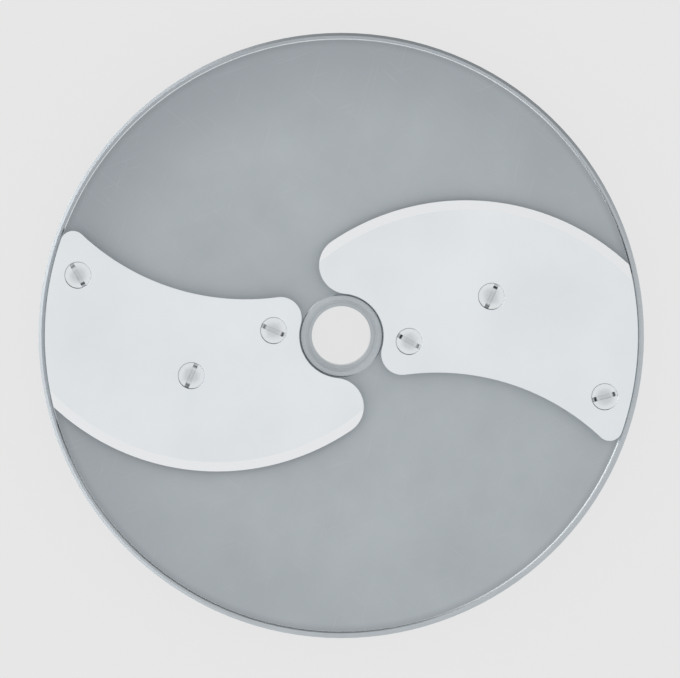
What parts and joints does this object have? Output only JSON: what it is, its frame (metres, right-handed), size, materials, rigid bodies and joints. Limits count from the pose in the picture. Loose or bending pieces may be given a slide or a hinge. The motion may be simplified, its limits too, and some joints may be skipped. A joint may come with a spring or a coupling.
{
  "type": "vegetable slicing disc",
  "caption": "Round cast slicing disc with a raised rim and a bored hub; curved blades are screwed over slots that let the slices fall through.",
  "frame": {"origin": "on the bore axis, at the foot of the hub that the disc rests on", "axes": "+Z along the bore towards the blades; +X towards the right blade; +Y up in the picture"},
  "size_m": [0.19, 0.19, 0.0225],
  "materials": {
    "cast_aluminium": "satin grey, cast and tumbled",
    "blade_steel": "bright fine-ground stainless sheet",
    "screw_steel": "plain stainless"
  },
  "bodies": {
    "root": {"disc_body": "cast_aluminium", "left_blade": "blade_steel", "right_blade": "blade_steel", "blade_screws": "screw_steel"}
  },
  "joints": []
}
